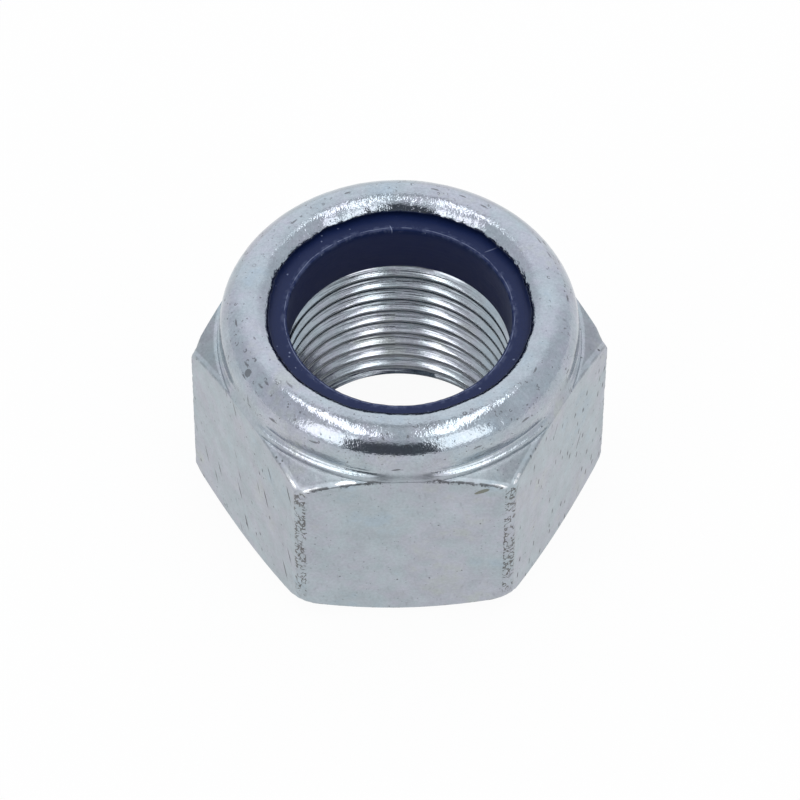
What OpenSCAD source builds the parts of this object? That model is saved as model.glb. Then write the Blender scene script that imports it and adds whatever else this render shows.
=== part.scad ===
// Self-locking hexagon nut, M20 x 1.5, 30 mm across flats.
// A forged steel nut carries a round collar above its hexagon. The collar is turned over a
// nylon ring, which grips the bolt's thread and keeps the nut from working loose.
// Millimetres. The origin is the centre of the bearing face and +Z runs along the bolt's axis
// to the collar. Two flats face -Y and +Y, and two corners lie on the X axis.

/* [Hexagon] */
// Overall height of the nut, from the bearing face to the top of the collar
nut_h = 22; // [21.8:0.05:22.6]
// Distance between two opposite flats
across_flats = 30; // [29.9:0.05:30.2]
// Radius to the rounded vertical corners
corner_r = 17.1; // [16.9:0.05:17.25]
// Radius of the flat bearing ring at the nut's foot
bearing_r = 13.5; // [13.2:0.1:14.2]
// Slope of the lower chamfer, measured from the bearing face
lower_chamfer_deg = 27; // [20:1:30]
// Slope of the upper chamfer, measured from the bearing face
upper_chamfer_deg = 30; // [25:1:32]
// Radius in section where the lower chamfer rounds into the vertical corners
lower_round_r = 0.9; // [0.5:0.1:1]
// Radius in section where the upper chamfer rounds into the vertical corners
upper_round_r = 1.2; // [0.8:0.1:1.5]

/* [Collar] */
// Outer radius of the collar's wall
collar_r = 14.65; // [14.5:0.05:14.75]
// Height of the collar above the inner edge of the upper chamfer
collar_h = 4.15; // [4.1:0.05:4.4]
// Thickness of the collar's wall beside the ring
collar_wall = 2; // [1.8:0.05:2.2]
// Radius of the rounded crown in section, outside its top
crown_r = 2.63; // [2.5:0.01:2.7]
// Radius of the turned-over lip in section, inside the crown's top
lip_r = 1.57; // [1.45:0.01:1.7]
// How far the lip turns down past the crown's top, in degrees
lip_turn_deg = 62; // [55:1:68]
// Thickness of the lip at its rounded edge
lip_t = 0.3; // [0.2:0.02:0.4]

/* [Collar foot] */
// How far the bead round the collar's foot stands out from the collar's wall
bead_out = 0.49; // [0.43:0.02:0.55]
// How far the bead's wall leans inwards on its way up
bead_lean = 0.05; // [0.03:0.01:0.08]
// Height of the bead's wall
bead_h = 0.42; // [0.36:0.02:0.5]
// Slope of the ledge on top of the bead, which falls outwards
ledge_deg = 18; // [14:1:22]
// Radius of the hollow between the bead's ledge and the collar's wall
foot_fillet_r = 0.38; // [0.3:0.02:0.42]

/* [Thread bore] */
// Diameter of the bore that the thread's crests lie on
minor_d = 18.5; // [18.4:0.02:18.66]
// Depth of the 45 degree countersink in the bearing face
entry_depth = 1.25; // [1:0.05:1.5]
// Depth of the 45 degree countersink under the nylon ring
inner_entry_depth = 0.85; // [0.75:0.05:1]

/* [Nylon ring] */
// How far the collar's crown stands above the ring
ring_cover = 1.5; // [1.4:0.02:1.6]
// Height of the ring
ring_h = 4.9; // [4.7:0.05:5]
// How far the ring's smooth bore stands inside the thread's crests
ring_bite = 0.1; // [0.02:0.02:0.2]
// Radius that the turned-over collar has pressed on the ring's upper outer edge
ring_shoulder_r = 1.35; // [1.25:0.05:1.4]
// Radius of the ring's upper inner edge
ring_edge_r = 0.3; // [0.2:0.05:0.4]
// Bevel on the ring's lower inner edge
ring_bevel = 0.25; // [0.15:0.05:0.3]
// Gap all round between the ring and the collar's inside
ring_gap = 0.05; // [0.03:0.01:0.08]

/* [Hidden] */
$fn = 96;
// How far a cutting shape runs past the face that it cuts
over = 1;

// The ring hangs below the crown by its cover, and the shoulder under it takes its height up
ring_top_z = nut_h - ring_cover;
seat_z = ring_top_z - ring_h;
// The collar's wall leaves this room for the ring
hollow_r = collar_r - collar_wall;
ring_r = hollow_r - ring_gap;
shoulder_c = [ring_r - ring_shoulder_r, ring_top_z - ring_shoulder_r];
hollow_shoulder_r = ring_shoulder_r + ring_gap;

// Thread bore and its two countersinks
minor_r = minor_d / 2;
entry_r = minor_r + entry_depth;
inner_entry_r = minor_r + inner_entry_depth;
ring_bore_r = minor_r - ring_bite;

// The chamfers run out to the corners
upper_chamfer_z = nut_h - collar_h;
bead_r = collar_r + bead_out;
lower_corner_z = (corner_r - bearing_r) * tan(lower_chamfer_deg);
upper_corner_z = upper_chamfer_z - (corner_r - bead_r) * tan(upper_chamfer_deg);
// Where they meet the corners the section is rounded, by arcs with these tangent lengths and
// centres, which touch the chamfers at the two points below
lower_cut = lower_round_r * tan((90 - lower_chamfer_deg) / 2);
upper_cut = upper_round_r * tan((90 - upper_chamfer_deg) / 2);
lower_round_c = [corner_r - lower_round_r, lower_corner_z + lower_cut];
upper_round_c = [corner_r - upper_round_r, upper_corner_z - upper_cut];
lower_round_end = [corner_r, lower_corner_z] - lower_cut * [cos(lower_chamfer_deg), sin(lower_chamfer_deg)];
upper_round_end = [corner_r, upper_corner_z] + upper_cut * [-cos(upper_chamfer_deg), sin(upper_chamfer_deg)];

// The crown's section is a quarter circle outside its top and a tighter one inside, and
// these are their centres
crown_c = [collar_r - crown_r, nut_h - crown_r];
lip_c = [crown_c[0], nut_h - lip_r];
// The lip ends in a small half round that touches its circle from inside
nose_r = lip_t / 2;
// Unit vector across the lip at its end, from the outside in
across_lip = [sin(lip_turn_deg), -cos(lip_turn_deg)];
lip_outer = lip_c - lip_r * across_lip;
nose_c = lip_outer + nose_r * across_lip;
// The lip's underside leaves the hollow's round shoulder at this angle from the bolt's axis
// and runs straight to the lip's rounded end, which it touches without a corner
lip_leave_deg = 14;
lip_root = shoulder_c + hollow_shoulder_r * [sin(lip_leave_deg), cos(lip_leave_deg)];
root_to_nose = nose_c - lip_root;
under_deg = atan2(root_to_nose[1], root_to_nose[0]) + asin(nose_r / norm(root_to_nose));
under_length = sqrt(pow(norm(root_to_nose), 2) - pow(nose_r, 2));
lip_under = lip_root + under_length * [cos(under_deg), sin(under_deg)];

// The bead at the collar's foot, and the hollow above it, which touches the ledge and the wall
bead_top = [bead_r - bead_lean, upper_chamfer_z + bead_h];
fillet_x = collar_r + foot_fillet_r;
fillet_rise = (foot_fillet_r + (bead_top[0] - fillet_x) * sin(ledge_deg)) / cos(ledge_deg);
fillet_c = [fillet_x, bead_top[1] + fillet_rise];
ledge_end = fillet_c - foot_fillet_r * [sin(ledge_deg), cos(ledge_deg)];
wall_top_z = max(fillet_c[1], crown_c[1]);

// Outline of the forging, turned about the bolt's axis, before its bore is made
module forging_section() {
    difference() {
        union() {
            polygon([
                [0, 0],
                [bearing_r, 0],
                lower_round_end,
                lower_round_c,
                [corner_r, lower_round_c[1]],
                [corner_r, upper_round_c[1]],
                upper_round_c,
                upper_round_end,
                [bead_r, upper_chamfer_z],
                bead_top,
                ledge_end,
                [collar_r, fillet_c[1]],
                [collar_r, wall_top_z],
                [0, wall_top_z]
            ]);
            translate(lower_round_c) circle(r = lower_round_r);
            translate(upper_round_c) circle(r = upper_round_r);
            intersection() {
                translate(crown_c) circle(r = crown_r);
                translate([crown_c[0], 0]) square([crown_r + over, nut_h + over]);
            }
            intersection() {
                translate(lip_c) circle(r = lip_r);
                square([lip_c[0], nut_h + over]);
            }
        }
        translate(fillet_c) circle(r = foot_fillet_r);
    }
}

// Everything hollow in the forging: the bore, its countersinks and the ring's room
module hollow_section() {
    polygon([
        [-over, -over],
        [entry_r + over, -over],
        [minor_r, entry_depth],
        [minor_r, seat_z - inner_entry_depth],
        [inner_entry_r, seat_z],
        [hollow_r, seat_z],
        [hollow_r, shoulder_c[1]],
        shoulder_c,
        lip_root,
        lip_under,
        nose_c,
        lip_outer,
        lip_outer - lip_r * across_lip,
        [-over, nut_h + over]
    ]);
    translate(shoulder_c) circle(r = hollow_shoulder_r);
}

// The nut's section: the forging less its hollow, with the lip's rounded end
module nut_section() {
    difference() {
        forging_section();
        hollow_section();
    }
    translate(nose_c) circle(r = nose_r);
}

module nut_body() {
    color([0.66, 0.69, 0.72])
        intersection() {
            rotate_extrude() nut_section();
            cylinder(h = nut_h, r = across_flats / sqrt(3), $fn = 6);
        }
}

// The nylon ring's section, with the shoulder that the lip has pressed on it
module ring_section() {
    edge_c = [ring_bore_r + ring_edge_r, ring_top_z - ring_edge_r];
    polygon([
        [ring_bore_r + ring_bevel, seat_z],
        [ring_r, seat_z],
        [ring_r, shoulder_c[1]],
        shoulder_c,
        [shoulder_c[0], ring_top_z],
        [edge_c[0], ring_top_z],
        edge_c,
        [ring_bore_r, edge_c[1]],
        [ring_bore_r, seat_z + ring_bevel]
    ]);
    translate(shoulder_c) circle(r = ring_shoulder_r);
    translate(edge_c) circle(r = ring_edge_r);
}

module locking_ring() {
    color([0.05, 0.07, 0.22])
        rotate_extrude() ring_section();
}

nut_body();
locking_ring();
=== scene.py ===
"""Looks of a zinc-plated hexagon lock nut with a blue nylon ring, in the frame of its solid model."""

import math

import bmesh
import bpy
from bpy.props import (
    FloatProperty,
    FloatVectorProperty,
    IntProperty,
    PointerProperty,
)
from mathutils import Matrix, Vector, noise


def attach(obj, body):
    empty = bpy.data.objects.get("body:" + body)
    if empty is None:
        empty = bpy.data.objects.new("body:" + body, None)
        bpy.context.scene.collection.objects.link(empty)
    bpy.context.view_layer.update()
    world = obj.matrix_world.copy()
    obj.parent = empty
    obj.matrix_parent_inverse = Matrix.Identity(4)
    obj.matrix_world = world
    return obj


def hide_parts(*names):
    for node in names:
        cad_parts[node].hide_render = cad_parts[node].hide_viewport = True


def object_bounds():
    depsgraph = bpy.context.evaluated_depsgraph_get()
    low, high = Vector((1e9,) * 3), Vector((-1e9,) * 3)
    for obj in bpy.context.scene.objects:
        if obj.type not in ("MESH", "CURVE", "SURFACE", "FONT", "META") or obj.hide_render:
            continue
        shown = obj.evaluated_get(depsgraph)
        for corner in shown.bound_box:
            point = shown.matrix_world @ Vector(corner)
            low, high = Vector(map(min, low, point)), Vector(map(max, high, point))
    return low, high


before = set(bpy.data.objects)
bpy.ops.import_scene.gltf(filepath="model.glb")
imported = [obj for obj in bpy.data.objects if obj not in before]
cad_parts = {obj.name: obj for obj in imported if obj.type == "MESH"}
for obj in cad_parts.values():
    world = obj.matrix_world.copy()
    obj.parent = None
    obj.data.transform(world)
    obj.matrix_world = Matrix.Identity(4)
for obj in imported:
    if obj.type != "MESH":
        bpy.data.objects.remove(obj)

bl_info = {
    "name": "Nylon Insert Lock Nut",
    "version": (1, 0, 0),
    "blender": (4, 5, 0),
    "location": "3D View > Sidebar > Lock Nut",
    "description": "Builds a plated lock nut with its thread, turned-over collar and nylon ring",
    "category": "Object",
}

CAD_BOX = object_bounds()
MM = 0.001
TURN = 2 * math.pi
# Degrees in a radian
DEGREES = 57.2958
# Vertices closer than this are one
SAME = 2e-6
# Faces that meet at a flatter angle than this are shaded as one surface
SOFT_BELOW = math.radians(38)


# Sizes and colours

def length(name, description, default):
    return FloatProperty(
        name=name, description=description, default=default, min=0.0, precision=6,
        subtype="DISTANCE", unit="LENGTH",
    )


def colour(name, description, default):
    return FloatVectorProperty(
        name=name, description=description, default=default, size=4, min=0.0, max=1.0, subtype="COLOR",
    )


def slope(name, description, degrees):
    return FloatProperty(
        name=name, description=description, default=math.radians(degrees), subtype="ANGLE", unit="ROTATION",
    )


class LockNutForging(bpy.types.PropertyGroup):
    """Sizes of the forged nut"""

    height: length("Height", "From the bearing face to the top of the collar", CAD_BOX[1][2])
    across_flats: length("Across flats", "Distance between opposite flats", 30 * MM)
    corner_radius: length("Corner radius", "Radius to the blunt vertical corners", 17.1 * MM)
    bearing_radius: length("Bearing radius", "Outer radius of the flat bearing ring", 13.5 * MM)
    lower_slope: slope("Lower chamfer", "Slope of the lower chamfer", 27)
    upper_slope: slope("Upper chamfer", "Slope of the upper chamfer", 30)
    edge_round: length("Edge rounding", "Radius of the soft edges of the flats", 0.2 * MM)
    lower_round: length("Lower corner rounding", "Radius where the lower chamfer meets a corner", 0.9 * MM)
    upper_round: length("Upper corner rounding", "Radius where the upper chamfer meets a corner", 1.3 * MM)
    collar_radius: length("Collar radius", "Outer radius of the collar's wall", 14.65 * MM)
    collar_height: length("Collar height", "Collar above the upper chamfer's inner edge", 4.15 * MM)
    collar_wall: length("Collar wall", "Thickness of the collar beside the ring", 2 * MM)
    crown_radius: length("Crown radius", "Section radius outside the collar's top", 2.63 * MM)
    lip_radius: length("Lip radius", "Section radius of the turned-over lip", 1.57 * MM)
    lip_turn: slope("Lip turn", "How far the lip turns down", 62)
    lip_thickness: length("Lip thickness", "Thickness at the lip's edge", 0.3 * MM)
    ring_cover: length("Ring cover", "Crown above the top of the ring", 1.5 * MM)
    ring_height: length("Ring height", "Height of the ring", 4.9 * MM)
    ring_shoulder: length("Ring shoulder", "Radius pressed on the ring's upper outer edge", 1.35 * MM)
    ring_gap: length("Ring gap", "Gap between ring and collar", 0.05 * MM)


class LockNutThread(bpy.types.PropertyGroup):
    """Sizes of the thread"""

    pitch: length("Pitch", "Rise of one turn", 1.5 * MM)
    major_radius: length("Major radius", "Radius of the thread's roots", 10 * MM)
    minor_radius: length("Minor radius", "Radius of the thread's crests", 9.25 * MM)
    entry_depth: length("Entry countersink", "Depth of the countersink in the bearing face", 1.25 * MM)
    inner_depth: length("Inner countersink", "Depth of the countersink under the ring", 0.85 * MM)
    steps: IntProperty(name="Steps", description="Steps in one turn of the thread", default=200, min=48)


class LockNutFinish(bpy.types.PropertyGroup):
    """Colours of the nut and its ring"""

    zinc: colour("Zinc", "Plated steel", (0.412, 0.453, 0.496, 1))
    # Colour of the painted highlights at the front corners' chamfer edges, where the plating is also rubbed
    # bright
    bright: colour("Burnished zinc", "Plating rubbed bright on the chamfers' edges", (0.78, 0.80, 0.82, 1))
    grime: colour("Grime", "Dirt and bare steel in pits", (0.055, 0.052, 0.055, 1))
    nylon: colour("Nylon", "Ring", (0.006, 0.015, 0.068, 1))
    # Also the colour of the painted highlight line along the bore's upper edge
    scuff_and_highlight: colour("Scuff", "Whitened nylon where it is scraped", (0.22, 0.26, 0.40, 1))
    floor: colour("Floor", "Table under the nut", (0.82, 0.82, 0.82, 1))


# Mesh tools

class Section:
    """A profile in the XZ plane, drawn from vertex to vertex"""

    def __init__(self, bm, r, z):
        self.bm = bm
        self.tip = bmesh.ops.create_vert(bm, co=(r, 0, z))["vert"][0]

    def line(self, r, z, parts=1):
        start, end = self.tip.co.copy(), Vector((r, 0, z))
        for i in range(parts):
            self.tip = bmesh.ops.extrude_vert_indiv(self.bm, verts=[self.tip])["verts"][0]
            self.tip.co = start.lerp(end, (i + 1) / parts)
        return self

    def arc(self, r, z, degrees, steps):
        """Turns about (r, z), counter-clockwise where degrees is positive"""
        turned = bmesh.ops.spin(
            self.bm, geom=[self.tip], cent=(r, 0, z), axis=(0, -1, 0),
            angle=math.radians(degrees), steps=steps,
        )
        self.tip = next(g for g in turned["geom_last"] if isinstance(g, bmesh.types.BMVert))
        return self

    def revolve(self, steps):
        bmesh.ops.spin(
            self.bm, geom=self.bm.verts[:] + self.bm.edges[:], cent=(0, 0, 0), axis=(0, 0, 1),
            angle=TURN, steps=steps, use_merge=True,
        )


def smoothstep(low, high, x):
    t = min(max((x - low) / (high - low), 0.0), 1.0)
    return t * t * (3 - 2 * t)


def soft_min(a, b, width):
    h = min(max(0.5 + 0.5 * (b - a) / width, 0.0), 1.0)
    return b + (a - b) * h - width * h * (1 - h)


def polar(v):
    return math.hypot(v.co.x, v.co.y), math.atan2(v.co.y, v.co.x)


def between(t, low, high):
    return low + (high - low) * t


def widen(v, factor):
    """Moves a vertex away from the bolt's axis"""
    v.co.x *= factor
    v.co.y *= factor


def merge_doubles(bm):
    bmesh.ops.remove_doubles(bm, verts=bm.verts[:], dist=SAME)


def finish_mesh(bm, name, material):
    bmesh.ops.recalc_face_normals(bm, faces=bm.faces[:])
    for e in bm.edges:
        e.smooth = e.is_manifold and e.calc_face_angle(0) < SOFT_BELOW
    for f in bm.faces:
        f.smooth = True
    mesh = bpy.data.meshes.new(name)
    bm.to_mesh(mesh)
    bm.free()
    piece = bpy.data.objects.new(name, mesh)
    bpy.context.scene.collection.objects.link(piece)
    piece.data.materials.append(material)
    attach(piece, "root")
    return piece


# Shader tools

def plug(tree, place, value):
    """Gives an input a link or a plain value"""
    if isinstance(value, Socket):
        tree.links.new(value.socket, place)
    else:
        place.default_value = value


class Socket:
    """A shader value that arithmetic can be written on"""

    def __init__(self, tree, socket):
        self.tree, self.socket = tree, socket

    def node(self, kind, settings=None, out=0, **inputs):
        """Adds a node of this kind; inputs are named after its sockets, or _0, _1 after their places"""
        made = self.tree.nodes.new(kind)
        for key, value in (settings or {}).items():
            if key == "stops":
                ramp = made.color_ramp
                while len(ramp.elements) < len(value):
                    ramp.elements.new(0.5)
                for element, (place, shade) in zip(ramp.elements, value):
                    element.position, element.color = place, shade
            else:
                setattr(made, key, value)
        for key, value in inputs.items():
            place = int(key[1:]) if key.startswith("_") else key.replace("_", " ")
            plug(self.tree, made.inputs[place], value)
        return Socket(self.tree, made.outputs[out])

    def maths(self, operation, *values):
        values = {f"_{i}": value for i, value in enumerate(values)}
        return self.node("ShaderNodeMath", {"operation": operation}, **values)

    def __add__(self, other):
        return self.maths("ADD", self, other)

    __radd__ = __add__

    def __sub__(self, other):
        return self.maths("SUBTRACT", self, other)

    def __rsub__(self, other):
        return self.maths("SUBTRACT", other, self)

    def __mul__(self, other):
        return self.maths("MULTIPLY", self, other)

    __rmul__ = __mul__

    def __truediv__(self, other):
        return self.maths("DIVIDE", self, other)

    def step(self, low, high):
        """0 below low and 1 above high, with a soft step between; low may be above high"""
        if low > high:
            return 1 - self.step(high, low)
        settings = {"interpolation_type": "SMOOTHSTEP"}
        return self.node("ShaderNodeMapRange", settings, Value=self, From_Min=low, From_Max=high)

    def window(self, low, high, soft):
        """1 between low and high, with soft steps of this half width"""
        return self.step(low - soft, low + soft) * self.step(high + soft, high - soft)

    def absolute(self):
        return self.maths("ABSOLUTE", self)

    def either(self, other):
        return self.maths("MAXIMUM", self, other)

    def mix(self, first, second):
        """first where this mask is 0 and second where it is 1, as colours"""
        settings = {"data_type": "RGBA", "clamp_factor": True}
        return self.node("ShaderNodeMix", settings, out=2, _0=self, _6=first, _7=second)

    def times(self, first, second):
        """The product of two colours"""
        settings = {"data_type": "RGBA", "blend_type": "MULTIPLY"}
        return self.node("ShaderNodeMix", settings, out=2, _0=1.0, _6=first, _7=second)


def split(vector):
    """The three parts of a vector"""
    return (vector.node("ShaderNodeSeparateXYZ", out=axis, Vector=vector) for axis in range(3))


class Material:
    """A Principled material and the coordinates that its patterns follow, in millimetres"""

    def __init__(self, name):
        self.made = bpy.data.materials.new(name)
        self.made.use_nodes = True
        self.tree = self.made.node_tree
        self.shader = self.tree.nodes["Principled BSDF"]
        place = Socket(self.tree, self.tree.nodes.new("ShaderNodeTexCoord").outputs["Object"])
        self.place = place.node("ShaderNodeMapping", Vector=place, Scale=(1 / MM,) * 3)
        self.x, self.y, self.z = split(self.place)
        self.r = self.x.maths("SQRT", self.x * self.x + self.y * self.y)
        # Runs from 0 at the front, with its seam at the back
        self.turn = self.x.maths("ARCTAN2", self.x, 0 - self.y)

    def vector(self, x, y, z):
        return self.place.node("ShaderNodeCombineXYZ", X=x, Y=y, Z=z)

    def moved(self, at, seed):
        """Shifts a pattern, so that two of one scale don't match"""
        if not seed:
            return at
        shift = (seed, seed * 1.7, seed * 0.6)
        return at.node("ShaderNodeVectorMath", {"operation": "ADD"}, _0=at, _1=shift)

    def noise(self, scale, detail=2.0, rough=0.5, at=None, seed=0.0):
        at = self.moved(at or self.place, seed)
        return at.node("ShaderNodeTexNoise", Vector=at, Scale=scale, Detail=detail, Roughness=rough)

    def cells(self, scale, at=None, out=0):
        at = at or self.place
        return at.node("ShaderNodeTexVoronoi", out=out, Vector=at, Scale=scale)

    def scattered(self, scale, share, at, finer, ragged):
        """Ragged distance from a cell's middle, and a mask of the share of cells that hold a mark"""
        distance = self.cells(scale, at) + (self.noise(scale * finer, 2, 0.6, at) - 0.5) * ragged
        chance = at.node("ShaderNodeSeparateColor", Color=self.cells(scale, at, out=1))
        return distance, chance.step(share + 0.01, share - 0.01)

    def spots(self, scale, size, share, at=None, seed=0.0, ragged=0.25):
        """Specks of this size, in cells of which only this share holds one"""
        at = self.moved(at or self.place, seed)
        distance, held = self.scattered(scale, share, at, 4, ragged)
        return distance.step(size, size * 0.5) * held

    def rings(self, scale, size, share, seed=0.0):
        """Broken rings and crescents, as other nuts' corners leave in a tumbling barrel"""
        at = self.moved(self.place, seed)
        distance, held = self.scattered(scale, share, at, 3, 0.18)
        ring = (distance - size).absolute().step(size * 0.45, size * 0.15)
        return ring * self.noise(scale * 1.6, 2, 0.5, at).step(0.49, 0.56) * held

    def patch(self, along, up, centre, size, lean=0.0, ragged=0.5):
        """One ragged oval mark; size is its half length and half width"""
        dx, dy = along - centre[0], up - centre[1]
        c, s = math.cos(math.radians(lean)), math.sin(math.radians(lean))
        u, v = (dx * c + dy * s) / size[0], (dy * c - dx * s) / size[1]
        torn = (self.noise(2.5, 3, 0.6) - 0.5) * ragged * 4
        return (u * u + v * v + torn).step(1.15, 0.6)

    def bump(self, height, depth):
        return self.place.node("ShaderNodeBump", Height=height, Strength=1.0, Distance=depth)

    def feed(self, **inputs):
        for key, value in inputs.items():
            plug(self.tree, self.shader.inputs[key.replace("_", " ")], value)
        return self.made


# Places on the nut that its looks follow, in millimetres: the hexagon's flats, the bearing ring,
# the bead at the collar's foot and the upper chamfer's inner edge
FLAT_AT = 15
BEARING_AT = 13.5
BEAD_AT = 15.14
CHAMFER_AT = 17.85
# Height at which the looks of the bore end and those of the ring's face begin
FACE_FROM = 20.0
# How steeply the upper and the lower chamfer rise
UPPER_RISE = 0.5774
LOWER_RISE = 0.5095
# Colours of the plating's faint iridescence, along one scale
TINTS = (
    (0.34, (0.94, 1.01, 1.035, 1)), (0.43, (0.98, 1.015, 1.0, 1)), (0.50, (1.0, 1.0, 1.0, 1)),
    (0.57, (1.035, 0.985, 1.015, 1)), (0.66, (1.045, 1.02, 0.96, 1)),
)
CHAFED = (0.10, 0.095, 0.09, 1)
OLIVE = (0.135, 0.135, 0.085, 1)
# The wall of the ring's bore is painted paler than its face, as painted light
NYLON_WALL_LIT = (0.014, 0.021, 0.075, 1)


def zinc_plating(finish):
    m = Material("Zinc_plating")
    zinc, grime, bright = tuple(finish.zinc), tuple(finish.grime), tuple(finish.bright)

    # Where on the nut a point lies
    bore = m.r.step(10.35, 10.15) * m.z.step(FACE_FROM, 18.0)
    side = m.x.absolute()
    flat = m.y.absolute().either(side * math.cos(math.radians(30)) + m.y.absolute() * 0.5)
    wall = flat.step(14.5, 14.62) * (1 - bore)
    collar = m.z.step(17.7, 18.0) * (1 - wall)
    crown = m.z.step(19.6, 20.6)
    curl = crown * m.r.step(13.3, 12.3)
    corner = m.r.step(16.97, 17.02) * wall * m.z.step(2.2, 3.4)
    # Depth below a flat, and heights above the cones of the two chamfers
    inset = FLAT_AT - flat
    upper = m.z - (CHAMFER_AT - (m.r - BEAD_AT) * UPPER_RISE)
    lower = m.z - (m.r - BEARING_AT) * LOWER_RISE
    shelf = m.r.step(15.12, 15.2) * m.z.step(15.5, 16.0) * (1 - wall)

    # Faint iridescence of the passivation, clouding, grain, and the tap's lines round the thread
    hue = m.noise(0.17, 2, 0.5) * 0.6 + m.noise(0.7, 3, 0.6, seed=14.0) * 0.4
    tint = hue.node("ShaderNodeValToRGB", {"stops": TINTS}, Fac=hue)
    cloud = m.noise(0.55, 3, 0.62, seed=4.0)
    grain = m.noise(4.0, 2, 0.7)
    strand = m.z - m.turn * (1.5 / TURN)
    lines = m.noise(1.0, 2, 0.65, m.vector(m.turn * 1.6, strand * 9.0, m.r * 6.0))
    level = 0.60 + cloud * 0.40 + grain * 0.42 - shelf * 0.25 + bore * (lines * 0.5 - 0.24)
    # The crown is a trace bluer
    shade = m.vector(level - crown * 0.01, level - crown * 0.01, level + crown * 0.015)
    base = hue.times(hue.times(zinc, tint), shade)

    # Pits, and nicks that lie along the blows that made them
    thick = m.noise(0.30, 2, 0.5, seed=9.0).step(0.42, 0.60)
    pits = m.spots(1.5, 0.15, 0.16) * 0.65
    pits = pits.either(m.spots(3.1, 0.24, 0.16, seed=7.0) * 0.4)
    left_lean = m.vector(m.x + m.z * 0.175, m.y - m.z * 0.30, m.z * 0.11)
    right_lean = m.vector(m.x - m.z * 0.25, m.y - m.z * 0.43, m.z * 0.12)
    nicks = m.spots(1.8, 0.22, 0.60, left_lean, 3.0, 0.3)
    nicks = nicks.either(m.spots(1.5, 0.17, 0.40, right_lean, 5.0))
    scratch = m.spots(0.55, 0.07, 0.20, right_lean, 8.0, 0.08)
    hoop = m.vector(m.turn * 5.0, m.r * 1.2, m.z * 1.2)
    dents = m.spots(1.3, 0.21, 0.42, hoop, 2.0, 0.45)
    dents = dents.either(m.rings(1.5, 0.24, 0.45, 6.0) * thick).either(m.rings(2.2, 0.25, 0.15, 11.0))
    # The side flats are nicked more than the front one
    worn_side = side.step(8.7, 9.3)
    marks = pits.either(nicks * wall * (0.12 + worn_side * 0.65)).either(scratch * wall * 0.45)
    marks = marks.either(dents * m.z.step(18.6, 19.4) * m.r.step(11.6, 12.4) * 0.62) * (1 - bore)

    # Crumbled corners and chamfer edges, with painted highlights at the front corners' tops, where the
    # plating is rubbed bright
    loops = (m.noise(2.1, 1, 0.4, seed=1.0) - 0.52).absolute().step(0.06, 0.025)
    chafed = loops.either(m.noise(1.9, 2, 0.5, seed=15.0).step(0.60, 0.64) * 0.8)
    chafed = chafed * corner * m.noise(0.9, 1, 0.5, seed=31.0).step(0.31, 0.41)
    ragged = (m.noise(1.6, 3, 0.6, seed=6.0) - 0.5) * 0.6
    beside = flat.step(14.8, 14.88)
    crumbs = m.noise(3.6, 3, 0.7, seed=18.0).step(0.50, 0.58)
    line = (upper + ragged * 0.4).absolute()
    line = (line.step(0.10, 0.03) * 0.75).either(line.step(0.26, 0.16) * crumbs * 0.8)
    line = line * m.r.step(15.02, 15.1) * m.noise(0.8, 3, 0.6).step(0.40, 0.50) * beside
    line = line * (0.3 + m.y.step(-14.4, -14.8) * 0.7)
    foot_line = (lower + ragged * 0.4).absolute().step(0.14, 0.05) * beside * crumbs
    edges = line.either(foot_line * 0.6) * (1 - bore)
    burnish_and_glints = (inset - 0.16 + ragged * 0.3).absolute().step(0.11, 0.05) * m.z.step(16.55, 16.7)
    burnish_and_glints = burnish_and_glints * m.r.step(16.2, 16.5) * m.noise(1.5, 3, 0.6, seed=12.0).step(0.40, 0.48)
    burnish_and_glints = burnish_and_glints * m.y.step(-3.0, -6.0)

    # Single marks seen on this nut, and one painted highlight
    around = m.turn * 14
    olive = m.patch(m.x, m.z, (6.15, 16.42), (0.68, 0.22), 27, 0.35) * m.y.step(-14.8, -14.95)
    spot = m.patch(around, m.z, (-15.5, 21.25), (0.34, 0.26)) * m.z.step(19.0, 19.6) * 0.6
    dash = m.patch(around, m.z, (-0.7, 19.05), (0.4, 0.1), 12, 0.3) * 0.7
    # A painted highlight on the upper chamfer's edge above the front flat
    painted_glint = m.patch(m.x, m.y, (-4.75, -14.78), (0.95, 0.17), -3, 0.4) * m.z.step(17.2, 17.3)
    burnish_and_glints = burnish_and_glints.either(painted_glint)
    marks = marks.either(spot).either(dash).either(edges)
    base = marks.mix(base, grime)
    base = (chafed * 0.85).mix(base, CHAFED)
    base = (olive * 0.75).mix(base, OLIVE)
    # Painted highlights on the rubbed plating, laid over everything but the marks
    base = (burnish_and_glints * (1 - marks)).mix(base, bright)

    # The crown is hammered all round, and its lip is wrinkled across its edge at the far side
    far = m.y.step(-1.0, 7.0)
    hammer = m.cells(2.6) * 0.5 + m.noise(3.0, 2, 0.6, seed=21.0) * 0.8
    sparkle = m.noise(6.5, 1, 0.6, seed=23.0)
    ripple = m.noise(2.0, 2, 0.55)
    height = grain * (0.010 - bore * 0.008) + ripple * (0.012 - bore * 0.010) + bore * lines * 0.017
    height = height + crown * (hammer * 0.004 + sparkle * 0.007)
    height = height + curl * (hammer * 0.006 + far * sparkle * 0.017)
    rough = 0.32 + grain * 0.08 + marks * 0.15
    rough = rough - collar * 0.17 - crown * 0.07 - bore * 0.24 - burnish_and_glints * 0.15
    return m.feed(Base_Color=base, Metallic=1.0, Roughness=rough, Normal=m.bump(height, 1.0 * MM))


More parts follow.
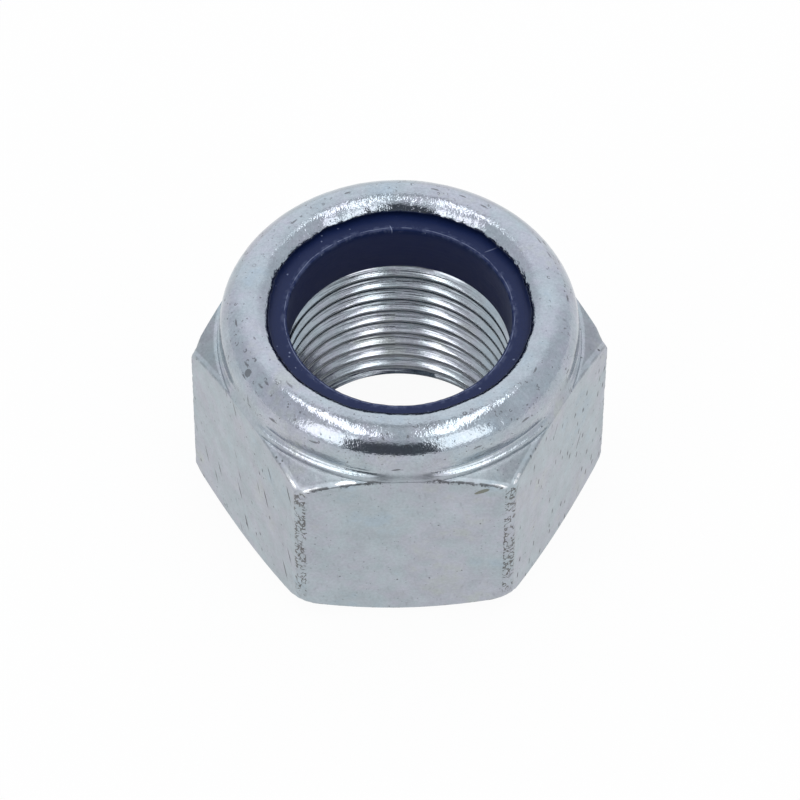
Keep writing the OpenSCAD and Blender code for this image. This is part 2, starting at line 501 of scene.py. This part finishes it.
def blue_nylon(finish):
    m = Material("Blue_nylon")
    nylon, scuff_and_highlight = tuple(finish.nylon), tuple(finish.scuff_and_highlight)
    # The bore's edge is scraped, and one broken line of painted highlight runs round it
    top, face = m.z.step(FACE_FROM, 20.3), m.z.step(19.9, 20.3)
    rim = top * m.r.step(9.75, 9.5) * m.noise(1.5, 4, 0.65).step(0.45, 0.62)
    waver = (m.noise(0.7, 3, 0.6) - 0.5) * 0.16
    edge_highlight = (m.r - 9.36 + waver).absolute().step(0.045, 0.015) * top
    edge_highlight = edge_highlight * m.noise(1.1, 3, 0.65).step(0.38, 0.52)
    # Crumbs lie on the face, and two fibres
    crumbs = m.spots(2.1, 0.19, 0.16, ragged=0.5) * face
    fibre = m.patch(m.x, m.y, (7.7, 6.75), (0.6, 0.05), 24, 0.2) * 0.6
    fibre = fibre.either(m.patch(m.x, m.y, (-0.4, 9.35), (0.3, 0.05), -70, 0.2))
    crumbs = crumbs.either(fibre * face)
    # Scrapes and crumbs, with the painted highlight line along the bore's edge
    scraped_and_highlit = (rim * 0.15).either(edge_highlight * 0.6).either(crumbs * 0.8)
    # Painted light: below the face, the bore's wall is painted paler
    base = scraped_and_highlit.mix(m.z.step(20.1, 19.6).mix(nylon, NYLON_WALL_LIT), scuff_and_highlight)
    grain = m.noise(7.0, 3, 0.6)
    turned = m.noise(1.0, 3, 0.6, m.vector(m.turn * 2.0, m.z * 5.0, m.r * 5.0))
    swell = m.noise(0.8, 2, 0.5)
    height = grain * 0.006 + swell * 0.03 + turned * 0.012
    return m.feed(
        Base_Color=base, Metallic=0.0, Roughness=0.34 + grain * 0.16 + scraped_and_highlit * 0.2,
        Normal=m.bump(height, 1.0 * MM), Specular_IOR_Level=0.25,
    )


# Forging

# How far each flat stands inside its place, in millimetres, anticlockwise from the one that faces -Y
FLAT_INSETS = (0.0, 0.0, 0.45, 0.0, 0.42, 0.03)


class Blank:
    """The forging's section, in metres, and the hexagon that it is pressed into"""

    # Columns of faces round one flat
    COLUMNS = 70
    # Columns from a flat's middle out to where its corner's rounding begins, and on to the corner
    FLAT_COLUMNS = 29
    FLAT_DEGREES = 27.5
    CORNER_DEGREES = (28.1, 28.5, 28.9, 29.3, 29.65, 30.0)

    # Millimetres from here on: how far the bead at the collar's foot stands out, at the front
    # corners and behind, how far its wall leans in, how high that wall is, and its edge's radius
    BEAD_OUT = 0.49
    BEAD_OUT_BEHIND = 0.2
    BEAD_LEAN = 0.05
    BEAD_HEIGHT = 0.42
    BEAD_EDGE = 0.05
    # Radius of the hollow above the bead's ledge
    FOOT_FILLET = 0.38
    # The upper chamfer's flatter step beside the bead: where it begins and ends, and its depth
    STEP_BEGINS = 0.17
    STEP_ENDS = 0.05
    STEP_DEEP = 0.05
    # The round blank's first step up the lower chamfer, and beside each end of its wall
    FIRST_STEP = 0.12
    # How softly a flat's wall turns into a corner's, and how far the flats stay inside their size
    CORNER_SOFT = 0.05
    FLAT_SHY = 0.002

    # Degrees: the slope of the bead's ledge, which falls outwards, and where the underside of the
    # lip leaves the hollow's round shoulder
    LEDGE = 18
    LIP_LEAVES = 14

    def __init__(self, p, thread):
        self.p, self.thread = p, thread
        self.reach = p.corner_radius
        self.low = math.tan(p.lower_slope)
        self.high = math.tan(p.upper_slope)
        self.chamfer_z = p.height - p.collar_height
        self.bead_r = p.collar_radius + self.BEAD_OUT * MM
        self.hollow_r = p.collar_radius - p.collar_wall
        self.ring_top = p.height - p.ring_cover
        self.seat_z = self.ring_top - p.ring_height
        # Tangent length of an edge's rounding, for a radius of 1
        self.low_cut = math.tan((math.pi / 2 - p.lower_slope) / 2)
        self.high_cut = math.tan((math.pi / 2 - p.upper_slope) / 2)

    def low_z(self, reach):
        return (reach - self.p.bearing_radius) * self.low

    def high_z(self, reach):
        return self.chamfer_z - (reach - self.bead_r) * self.high

    def shelf_z(self, reach, bead):
        """Height of the upper chamfer, which ends in a narrow flatter step beside the bead"""
        step = smoothstep(self.STEP_BEGINS, self.STEP_ENDS, (reach - bead) / MM)
        return self.high_z(max(reach, bead)) - self.STEP_DEEP * MM * step

    def wall_reach(self, turn):
        """Distance from the axis to the hexagon's wall in this direction"""
        reach = self.p.corner_radius
        for flat, inset in enumerate(FLAT_INSETS):
            facing = math.cos(turn + math.pi / 2 - flat * math.pi / 3)
            if facing > 0.5:
                flat_reach = (self.p.across_flats / 2 - (inset + self.FLAT_SHY) * MM) / facing
                reach = soft_min(flat_reach, reach, self.CORNER_SOFT * MM)
        return reach

    def bead_reach(self, turn):
        """The bead at the collar's foot stands out most at the front corners, and little at the back"""
        front = smoothstep(-0.1, 0.75, -math.sin(turn))
        return self.p.collar_radius + between(front, self.BEAD_OUT_BEHIND, self.BEAD_OUT) * MM

    def column_angle(self, turn):
        """Moves an even column to its place between a flat's middle and a corner"""
        sixth = math.pi / 3
        flat = math.floor(turn / sixth)
        off = turn - (flat + 0.5) * sixth
        index = round(abs(off) / sixth * self.COLUMNS)
        if index <= self.FLAT_COLUMNS:
            degrees = self.FLAT_DEGREES * index / self.FLAT_COLUMNS
        else:
            degrees = self.CORNER_DEGREES[index - self.FLAT_COLUMNS - 1]
        return (flat + 0.5) * sixth + math.copysign(math.radians(degrees), off), degrees

    def draw(self, bm):
        """Draws the section from the bore's countersink out, over the collar and back to the bore"""
        s = self.draw_hexagon(bm)
        self.draw_bead(s)
        self.draw_collar(s)
        # The room for the ring, down to the countersink under it
        inner_r = self.thread.minor_radius + self.thread.inner_depth
        s.line(self.hollow_r, self.seat_z, 3)
        s.line(inner_r + 0.05 * MM, self.seat_z, 2)
        return s.line(inner_r, self.seat_z - 0.03 * MM)

    def draw_hexagon(self, bm):
        """Countersink, bearing ring, lower chamfer, wall and upper chamfer of the round blank"""
        p, reach, rnd = self.p, self.reach, self.p.edge_round
        entry_r = self.thread.minor_radius + self.thread.entry_depth
        first = self.FIRST_STEP * MM
        low_cut, high_cut = rnd * self.low_cut, rnd * self.high_cut
        low_z, high_z = self.low_z(reach), self.high_z(reach)
        s = Section(bm, entry_r - 0.36 * MM, 0.36 * MM)
        s.line(entry_r - 0.08 * MM, 0.08 * MM, 2).line(entry_r + 0.1 * MM, 0)
        s.line(p.bearing_radius - 0.15 * MM, 0, 4)
        s.line(p.bearing_radius + first, self.low * self.FIRST_STEP * MM)
        s.line(reach - low_cut * math.cos(p.lower_slope), low_z - low_cut * math.sin(p.lower_slope), 8)
        s.arc(reach - rnd, low_z + low_cut, 90 - math.degrees(p.lower_slope), 5)
        s.line(reach, low_z + low_cut + first)
        s.line(reach, high_z - high_cut - first, 38)
        s.line(reach, high_z - high_cut)
        s.arc(reach - rnd, high_z - high_cut, 90 - math.degrees(p.upper_slope), 5)
        for off, parts in ((self.STEP_BEGINS * MM, 6), (self.STEP_ENDS * MM, 1)):
            s.line(self.bead_r + off, self.high_z(self.bead_r + off), parts)
        return s

    def draw_bead(self, s):
        """The bead at the collar's foot: its leaning wall, rounded edge and ledge, and the hollow above"""
        s.line(self.bead_r + 0.01 * MM, self.chamfer_z - 0.03 * MM)
        s.line(self.bead_r, self.chamfer_z + 0.03 * MM)
        lean, ledge = math.atan2(self.BEAD_LEAN, self.BEAD_HEIGHT), math.radians(self.LEDGE)
        edge_r = self.BEAD_EDGE * MM
        top_r, top_z = self.bead_r - self.BEAD_LEAN * MM, self.chamfer_z + self.BEAD_HEIGHT * MM
        cut = edge_r * math.tan((math.pi / 2 - ledge - lean) / 2)
        r, z = top_r + cut * math.sin(lean), top_z - cut * math.cos(lean)
        s.line(r, z, 2)
        s.arc(r - edge_r * math.cos(lean), z - edge_r * math.sin(lean), 90 - math.degrees(ledge + lean), 3)
        fillet = self.FOOT_FILLET * MM
        fillet_x = self.p.collar_radius + fillet
        fillet_z = top_z + (fillet + (top_r - fillet_x) * math.sin(ledge)) / math.cos(ledge)
        s.line(fillet_x - fillet * math.sin(ledge), fillet_z - fillet * math.cos(ledge), 2)
        s.arc(fillet_x, fillet_z, math.degrees(ledge) - 90, 7)

    def draw_collar(self, s):
        """The collar's wall and crown, the lip down to its thin edge, and its underside"""
        p = self.p
        crown_x, crown_z = p.collar_radius - p.crown_radius, p.height - p.crown_radius
        s.line(p.collar_radius, crown_z)
        s.arc(crown_x, crown_z, 90, 18)
        lip_z = p.height - p.lip_radius
        turn = math.degrees(p.lip_turn)
        s.arc(crown_x, lip_z, turn, 10)
        nose_r = p.lip_thickness / 2
        nose_in = p.lip_radius - nose_r
        nose_x, nose_z = crown_x - nose_in * math.sin(p.lip_turn), lip_z + nose_in * math.cos(p.lip_turn)
        shoulder_x = self.hollow_r - p.ring_gap - p.ring_shoulder
        shoulder_z = self.ring_top - p.ring_shoulder
        hollow_round = p.ring_shoulder + p.ring_gap
        leave = math.radians(self.LIP_LEAVES)
        root_x = shoulder_x + hollow_round * math.sin(leave)
        root_z = shoulder_z + hollow_round * math.cos(leave)
        to_nose = (nose_x - root_x, nose_z - root_z)
        # Direction in which the underside leaves the lip's rounded edge
        under = math.atan2(-to_nose[1], -to_nose[0]) + math.asin(nose_r / math.hypot(*to_nose))
        s.arc(nose_x, nose_z, 180 + math.degrees(under) - turn, 5)
        s.line(root_x, root_z, 4)
        s.arc(shoulder_x, shoulder_z, self.LIP_LEAVES - 90, 6)

    def press(self, bm):
        """Moves the round blank's vertices on to the hexagon, as a die does"""
        p = self.p
        rnd = p.edge_round
        low_cos, high_cos = math.cos(p.lower_slope), math.cos(p.upper_slope)
        # The ends of the round blank's wall, and of its two chamfers
        low_end = self.low_z(self.reach) + rnd * self.low_cut
        high_end = self.high_z(self.reach) - rnd * self.high_cut
        low_cone = self.reach - rnd * self.low_cut * low_cos
        high_cone = self.reach - rnd * self.high_cut * high_cos
        low_start = p.bearing_radius + self.FIRST_STEP * MM
        tiny = 1e-7
        for v in bm.verts:
            r, turn = polar(v)
            z = v.co.z
            turn, off = self.column_angle(turn)
            reach, bead = self.wall_reach(turn), self.bead_reach(turn)
            corner = smoothstep(26.0, 29.3, off)
            low_round = between(corner, rnd, p.lower_round)
            # The upper edge's rounding fades out where the flat runs into the bead
            width = max(reach - bead, 0.0)
            high_round = min(between(corner, rnd, p.upper_round), 1.5 * width)
            low_zone, high_zone = low_round * self.low_cut, high_round * self.high_cut
            edge_z = self.shelf_z(reach, bead)
            if low_start + tiny < r <= low_cone + tiny and z < low_end:
                share = (r - low_start) / (low_cone - low_start)
                r = between(share, low_start, reach - low_zone * low_cos)
                z = self.low_z(r)
            elif r > low_cone and z <= low_end + tiny:
                scale = low_round / rnd
                z = self.low_z(reach) + low_zone + (z - low_end) * scale
                r = reach - low_round + (r - self.reach + rnd) * scale
            elif r > self.reach - tiny and z < high_end - tiny:
                share = (z - low_end) / (high_end - low_end)
                z = between(share, self.low_z(reach) + low_zone, edge_z - high_zone)
                r = reach
            elif r > high_cone - tiny and z >= high_end - tiny:
                scale = high_round / rnd
                z = edge_z - high_zone + (z - high_end) * scale
                r = reach - high_round + (r - self.reach + rnd) * scale
            elif r > self.bead_r + 0.04 * MM and z > high_end:
                share = (r - self.bead_r) / (high_cone - self.bead_r)
                foot = min(bead, reach)
                r = between(share, foot, max(reach - high_zone * high_cos, foot))
                z = self.shelf_z(r, bead)
            elif z > self.chamfer_z - 0.1 * MM and r > p.collar_radius + tiny:
                # Bead, which a flat's middle cuts down to a smooth step
                share = (r - p.collar_radius) / (self.bead_r - p.collar_radius)
                above = (z - self.chamfer_z) / MM
                r = min(between(share, p.collar_radius, bead), reach)
                merged = between(smoothstep(0.92, -0.2, above), p.collar_radius, min(reach, bead))
                r = between(smoothstep(0.36, 0.08, reach / MM - 15), r, merged)
                z += (self.bead_r - bead) * self.high * smoothstep(0.55, 0.0, above)
            v.co.x, v.co.y, v.co.z = r * math.cos(turn), r * math.sin(turn), z
        merge_doubles(bm)


# The lip's straight facets: angles in degrees from +X, and radial steps in millimetres
LIP_FACETS = (
    (0, 0.03), (14, -0.05), (25, 0.07), (37, -0.06), (48, 0.06), (62, -0.05), (76, -0.02), (92, 0.02),
    (104, -0.06), (116, -0.12), (123, 0.06), (131, -0.08), (140, 0.02), (150, 0.0), (156, 0.06), (165, -0.09),
    (178, -0.02), (196, 0.06), (214, 0.08), (230, 0.02), (247, 0.05), (262, -0.02), (280, 0.03), (297, -0.02),
    (314, 0.08), (332, 0.04), (348, 0.05), (360, 0.03),
)


def facet_step(turn):
    degrees = math.degrees(turn) % 360
    for (a, low), (b, high) in zip(LIP_FACETS, LIP_FACETS[1:]):
        if a <= degrees <= b:
            return (low + (high - low) * (degrees - a) / (b - a)) * MM
    return 0.0


def batter(bm, blank):
    """Gives the pressed forging its uneven lip, rolled crown and rough corners"""
    for v in bm.verts:
        r, turn = polar(v)
        at = v.co / MM
        push = 0.0
        if v.co.z > blank.ring_top and r < 12.0 * MM:
            # The lip's edge follows its facets, and is nibbled most at the far side
            lip = smoothstep(11.9, 10.8, r / MM)
            ragged = between(smoothstep(-1.0, 5.0, at.y), 0.015, 0.07)
            nibble = noise.noise(at * 3.2 + Vector((3, 1, 7))) * ragged
            nibble += noise.noise(at * 0.7) * 0.05
            push = lip * (facet_step(turn) + nibble * MM)
            v.co.z += lip * noise.noise(at * 0.5 + Vector((9, 2, 4))) * 0.06 * MM
        elif r > 16.6 * MM:
            # A corner is worn unevenly
            push = -abs(noise.noise(at * 1.9)) * 0.07 * MM
        if push:
            widen(v, (r + push) / r)
    # The crown is rolled a little unevenly, from the collar's wall up
    bm.normal_update()
    moves = []
    for v in bm.verts:
        if v.co.z > blank.chamfer_z + 1.2 * MM:
            at = v.co / MM
            wave = noise.noise(at * 1.4) * 0.012
            wave += noise.noise(at * 0.45 + Vector((5, 5, 5))) * 0.02
            moves.append((v, v.normal * (wave * MM * smoothstep(0, 1.2, v.co.z / MM - 19.05))))
    for v, move in moves:
        v.co += move
        v.co.z = min(v.co.z, blank.p.height)


# Depth of the split that thread forming leaves in a crest
SPLIT = 0.045 * MM
# Where the screw surface is cut off, above the bearing face and below the ring's seat
FOOT_CUT = 0.42 * MM
SEAT_CUT = 0.08 * MM


def ends_of(edges):
    """Sorts the open edges of the bore into those at its foot and those under the ring"""
    open_edges = [e for e in edges if e.is_boundary]
    middle = 5 * MM
    low = [e for e in open_edges if e.verts[0].co.z < middle]
    return low, [e for e in open_edges if e.verts[0].co.z > middle]


def draw_pitch(bm, t):
    """One pitch in section: a crest with its split, a flank, the root and the other flank"""
    deep, crest = t.major_radius, t.minor_radius
    flank = (deep - crest) * math.tan(math.radians(30))
    root = t.pitch / 8
    land = t.pitch - root - 2 * flank
    # Rounding of a crest's and of a root's edges
    crest_out, crest_up = 0.04 * MM, 0.012 * MM
    root_in, root_up = 0.03 * MM, 0.01 * MM
    s = Section(bm, crest, 0)
    s.line(crest, 0.28 * land).line(crest + SPLIT, 0.5 * land)
    s.line(crest, 0.72 * land).line(crest, land)
    s.line(crest + crest_out, land + crest_up).line(deep - root_in, land + flank - root_up, 2)
    s.line(deep, land + flank + 0.25 * root).line(deep, land + flank + 0.75 * root)
    s.line(deep - root_in, land + flank + root + root_up)
    s.line(crest + crest_out, t.pitch - crest_up, 2)
    s.line(crest, t.pitch)


def cut_thread(bm, blank):
    """Adds the screw surface of the thread to an open forging, and joins both ends"""
    t, crest = blank.thread, blank.thread.minor_radius
    low_rim, high_rim = ends_of(bm.edges)
    work = bmesh.new()
    draw_pitch(work, t)
    bmesh.ops.spin(
        work, geom=work.verts[:] + work.edges[:], cent=(0, 0, 0), axis=(0, 0, 1),
        dvec=(0, 0, t.pitch / t.steps), angle=TURN, steps=t.steps, use_merge=False,
    )
    one_turn = bpy.data.meshes.new("one_turn")
    work.to_mesh(one_turn)
    work.clear()
    one_turn.transform(Matrix.Translation((0, 0, 0.2 * MM - 2 * t.pitch)))
    for _ in range(math.ceil(blank.seat_z / t.pitch) + 3):
        work.from_mesh(one_turn)
        one_turn.transform(Matrix.Translation((0, 0, t.pitch)))
    bpy.data.meshes.remove(one_turn)
    merge_doubles(work)
    # The thread runs out into both countersinks
    entry_r, inner_r = crest + t.entry_depth, crest + t.inner_depth
    for v in work.verts:
        r = math.hypot(v.co.x, v.co.y)
        cone = max(entry_r - v.co.z, inner_r - (blank.seat_z - v.co.z))
        at = v.co / MM
        wear = noise.noise(Vector((at.x * 0.9, at.y * 0.9, at.z * 0.4))) * 0.008 * MM
        widen(v, max(r + wear, cone) / r)
    for z, way in ((FOOT_CUT, -1), (blank.seat_z - SEAT_CUT, 1)):
        bmesh.ops.bisect_plane(
            work, geom=work.verts[:] + work.edges[:] + work.faces[:], dist=1e-8, plane_co=(0, 0, z),
            plane_no=(0, 0, way), clear_outer=True,
        )
    merge_doubles(work)
    sleeve = bpy.data.meshes.new("thread_surface")
    work.to_mesh(sleeve)
    work.free()
    known = set(bm.edges)
    bm.from_mesh(sleeve)
    bpy.data.meshes.remove(sleeve)
    low_end, high_end = ends_of([e for e in bm.edges if e not in known])
    bmesh.ops.bridge_loops(bm, edges=low_rim + low_end)
    bmesh.ops.bridge_loops(bm, edges=high_rim + high_end)
    bmesh.ops.triangulate(bm, faces=[f for f in bm.faces if len(f.verts) > 4])


# Stage

WHITE = (1, 1, 1, 1)
# How bright the floor is to the camera, how bright the metal mirrors it inside the nut's bore,
# where its shadow is painted in, and how much brighter the metal mirrors it outside
FLOOR_SEEN = 0.95
FLOOR_SHADOWED = 0.1
FLOOR_OUTSIDE = 0.7
# The room's colours: at the sides, behind, overhead, and in the dim gap in front
SIDES = (0.78, 0.80, 0.83, 1)
REAR = (1.12, 1.14, 1.17, 1)
OVERHEAD = (0.52, 0.53, 0.55, 1)
GAP = (0.10, 0.11, 0.125, 1)
# Its lamps: the boxes beside the gap, and the two strips overhead
BOXES = (2.2, 2.2, 2.2, 1)
STRIPS = (3.1, 3.1, 3.1, 1)
# The camera, solved from the photo: its place in metres, its lens, and its angles in degrees
CAMERA_PLACE = (-0.009855, -0.256611, 0.336245)
LENS = 225.5
CAMERA_TURN = -2.2206
CAMERA_TILT = 51.841
CAMERA_ROLL = 0.479


# Operators

class LOCKNUT_OT_studio(bpy.types.Operator):
    """Adds the table, the soft lamps and the camera"""

    bl_idname = "locknut.studio"
    bl_label = "Studio"

    def execute(self, context):
        scene = context.scene
        bm = bmesh.new()
        bmesh.ops.create_grid(bm, x_segments=1, y_segments=1, size=3.0)
        mesh = bpy.data.meshes.new("table")
        bm.to_mesh(mesh)
        bm.free()
        table = bpy.data.objects.new("table", mesh)
        scene.collection.objects.link(table)
        table.data.materials.append(self.table_paint(tuple(scene.locknut_finish.floor)))
        self.sky(scene)
        self.lamp(scene, "overhead_lamp", (0.0, -0.05, 0.75), (0.50, 0.42), 0.18)
        self.camera(scene)
        scene.view_settings.view_transform = "Standard"
        return {"FINISHED"}

    def table_paint(self, shade):
        """White to the camera and in the metal, and dark in the metal where the bore frames it, as a painted
        shadow
        """
        made = bpy.data.materials.new("White_table")
        made.use_nodes = True
        tree = made.node_tree
        shader = tree.nodes["Principled BSDF"]
        shader.inputs["Base Color"].default_value = shade
        shader.inputs["Roughness"].default_value = 0.9
        shader.inputs["Specular IOR Level"].default_value = 0.1
        glow = tree.nodes.new("ShaderNodeEmission")
        both = tree.nodes.new("ShaderNodeMixShader")
        rays = tree.nodes.new("ShaderNodeLightPath")
        camera, glossy, through = (
            Socket(tree, rays.outputs[f"Is {kind} Ray"]) for kind in ("Camera", "Glossy", "Transmission")
        )
        place = Socket(tree, tree.nodes.new("ShaderNodeTexCoord").outputs["Object"])
        away = place.node("ShaderNodeVectorMath", {"operation": "LENGTH"}, out=1, _0=place)
        # Painted shadow: the glow that the metal mirrors is dimmed under the nut
        bright = FLOOR_SHADOWED + away.step(0.009, 0.012) * FLOOR_OUTSIDE
        mirrored = glossy.either(through) * bright
        plug(tree, both.inputs[0], (camera * FLOOR_SEEN).either(mirrored))
        tree.links.new(shader.outputs[0], both.inputs[1])
        tree.links.new(glow.outputs[0], both.inputs[2])
        tree.links.new(both.outputs[0], tree.nodes["Material Output"].inputs[0])
        return made

    def sky(self, scene):
        """A pale room with a box on each side of the dim gap in front, and two strips overhead"""
        world = bpy.data.worlds.new("Pale_room")
        scene.world = world
        world.use_nodes = True
        tree = world.node_tree
        back = tree.nodes["Background"]
        way = Socket(tree, tree.nodes.new("ShaderNodeTexCoord").outputs["Generated"])
        x, y, z = split(way)
        # Degrees round from the front, and above the horizon
        turn = x.maths("ARCTAN2", x, 0 - y) * DEGREES
        rise = z.maths("ARCTAN2", z, z.maths("SQRT", x * x + y * y)) * DEGREES
        room = turn.absolute().step(115, 155).mix(SIDES, REAR)
        room = rise.step(58, 74).mix(room, OVERHEAD)
        gap_left, gap_right, soft = -31, 21, 1.5
        boxes = turn.window(-58, gap_left, soft) * rise.window(8, 50, 4)
        boxes = boxes.either(turn.window(gap_right, 51, soft) * rise.window(11, 52, 5) * 0.9)
        dim = turn.window(gap_left, gap_right, soft) * rise.step(-3, 3) * rise.step(54, 34)
        # The strips lie flat, so their places are offsets at a height of 1
        across, along = x / z.either(0.05), y / z.either(0.05)
        strips = across.absolute().window(0.19, 0.38, 0.02) * along.window(-0.47, 0.30, 0.04)
        shade = boxes.mix(room, BOXES)
        shade = (strips * z.step(0.3, 0.4)).mix(shade, STRIPS)
        shade = dim.mix(shade, GAP)
        seen = Socket(tree, tree.nodes.new("ShaderNodeLightPath").outputs["Is Camera Ray"])
        plug(tree, back.inputs["Color"], seen.mix(shade, WHITE))

    def lamp(self, scene, name, place, size, power):
        """A soft oblong lamp that faces the nut"""
        made = bpy.data.lights.new(name, "AREA")
        made.shape = "RECTANGLE"
        made.size, made.size_y = size
        made.energy = power
        lamp = bpy.data.objects.new(name, made)
        lamp.location = place
        aim = Vector((0, 0, 0.01)) - Vector(place)
        lamp.rotation_euler = aim.to_track_quat("-Z", "Y").to_euler()
        scene.collection.objects.link(lamp)

    def camera(self, scene):
        made = bpy.data.cameras.new("camera")
        made.sensor_width = 36
        made.lens = LENS
        made.clip_start, made.clip_end = 0.01, 20
        camera = bpy.data.objects.new("camera", made)
        scene.collection.objects.link(camera)
        turn, tilt, roll = (math.radians(a) for a in (CAMERA_TURN, CAMERA_TILT, CAMERA_ROLL))
        level = math.cos(tilt)
        back = Vector((math.sin(turn) * level, -math.cos(turn) * level, math.sin(tilt)))
        right = Vector((math.cos(turn), math.sin(turn), 0))
        up = back.cross(right)
        side = right * math.cos(roll) + up * math.sin(roll)
        top = up * math.cos(roll) - right * math.sin(roll)
        turned = Matrix((side, top, back)).transposed().to_4x4()
        camera.matrix_world = Matrix.Translation(CAMERA_PLACE) @ turned
        scene.camera = camera


class LOCKNUT_OT_forging(bpy.types.Operator):
    """Forges the nut, turns its collar over and cuts its thread"""

    bl_idname = "locknut.forging"
    bl_label = "Forged nut"

    def execute(self, context):
        scene = context.scene
        blank = Blank(scene.locknut_forging, scene.locknut_thread)
        bm = bmesh.new()
        blank.draw(bm).revolve(6 * Blank.COLUMNS)
        blank.press(bm)
        batter(bm, blank)
        cut_thread(bm, blank)
        if any(not e.is_manifold for e in bm.edges):
            raise RuntimeError("the forging isn't closed")
        piece = finish_mesh(bm, "nut_forging", zinc_plating(scene.locknut_finish))
        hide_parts("nut_body")
        return {"FINISHED"}


class LOCKNUT_OT_ring(bpy.types.Operator):
    """Makes the nylon ring"""

    bl_idname = "locknut.ring"
    bl_label = "Nylon ring"

    def execute(self, context):
        scene = context.scene
        blank = Blank(scene.locknut_forging, scene.locknut_thread)
        p = blank.p
        outer = blank.hollow_r - p.ring_gap
        # How far the ring stands inside the thread's crests
        bite = 0.1 * MM
        bore = scene.locknut_thread.minor_radius - bite
        top, low = blank.ring_top, blank.seat_z
        # The ring's bevel at the foot of its bore, its rounded upper edge and its foot's outer edge
        bevel, edge_r, foot = 0.25 * MM, 0.2 * MM, 0.05 * MM
        bm = bmesh.new()
        s = Section(bm, bore, low + bevel)
        s.line(bore + bevel, low).line(outer - foot, low, 2).line(outer, low + foot)
        s.line(outer, top - p.ring_shoulder, 4)
        s.arc(outer - p.ring_shoulder, top - p.ring_shoulder, 90, 8)
        s.line(bore + edge_r, top, 10).arc(bore + edge_r, top - edge_r, 90, 5)
        s.line(bore, low + bevel, 12)
        merge_doubles(bm)
        s.revolve(300)
        self.soften(bm, bore, top, edge_r)
        piece = finish_mesh(bm, "nylon_ring", blue_nylon(scene.locknut_finish))
        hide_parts("locking_ring")
        return {"FINISHED"}

    def soften(self, bm, bore, top, edge_r):
        """Makes the bore's edge wavy and the face slightly dished, as worn nylon is"""
        for v in bm.verts:
            r = math.hypot(v.co.x, v.co.y)
            if r < 11.3 * MM:
                at = v.co / MM
                edge = smoothstep(0.9, 0.0, abs(v.co.z - (top - edge_r)) / MM)
                edge *= smoothstep(10.2, 9.3, r / MM)
                wave = noise.noise(at * 0.8) * 0.02 + edge * noise.noise(at * 2.2) * 0.03
                widen(v, max(r + wave * MM, bore) / r)
                dish = smoothstep(11.2, 10.2, r / MM) * smoothstep(0.4, 0.0, (top - v.co.z) / MM)
                v.co.z -= dish * (0.03 + 0.03 * noise.noise(at * 0.5)) * MM


class LOCKNUT_PT_panel(bpy.types.Panel):
    """Lists the parts of the lock nut"""

    bl_idname = "LOCKNUT_PT_panel"
    bl_label = "Lock Nut"
    bl_space_type = "VIEW_3D"
    bl_region_type = "UI"
    bl_category = "Lock Nut"

    def draw(self, context):
        scene = context.scene
        for group in (scene.locknut_forging, scene.locknut_thread, scene.locknut_finish):
            box = self.layout.box()
            for key in group.__annotations__:
                box.prop(group, key)
        for operator in OPERATORS:
            self.layout.operator(operator.bl_idname)


GROUPS = {
    "locknut_forging": LockNutForging,
    "locknut_thread": LockNutThread,
    "locknut_finish": LockNutFinish,
}
OPERATORS = (LOCKNUT_OT_studio, LOCKNUT_OT_forging, LOCKNUT_OT_ring)


def register():
    for made in (*GROUPS.values(), *OPERATORS, LOCKNUT_PT_panel):
        bpy.utils.register_class(made)
    for key, group in GROUPS.items():
        setattr(bpy.types.Scene, key, PointerProperty(type=group))


def unregister():
    for key in GROUPS:
        delattr(bpy.types.Scene, key)
    for made in reversed((*GROUPS.values(), *OPERATORS, LOCKNUT_PT_panel)):
        bpy.utils.unregister_class(made)


def main():
    register()
    bpy.ops.locknut.studio()
    bpy.ops.locknut.forging()
    bpy.ops.locknut.ring()


if __name__ == "__main__":
    main()
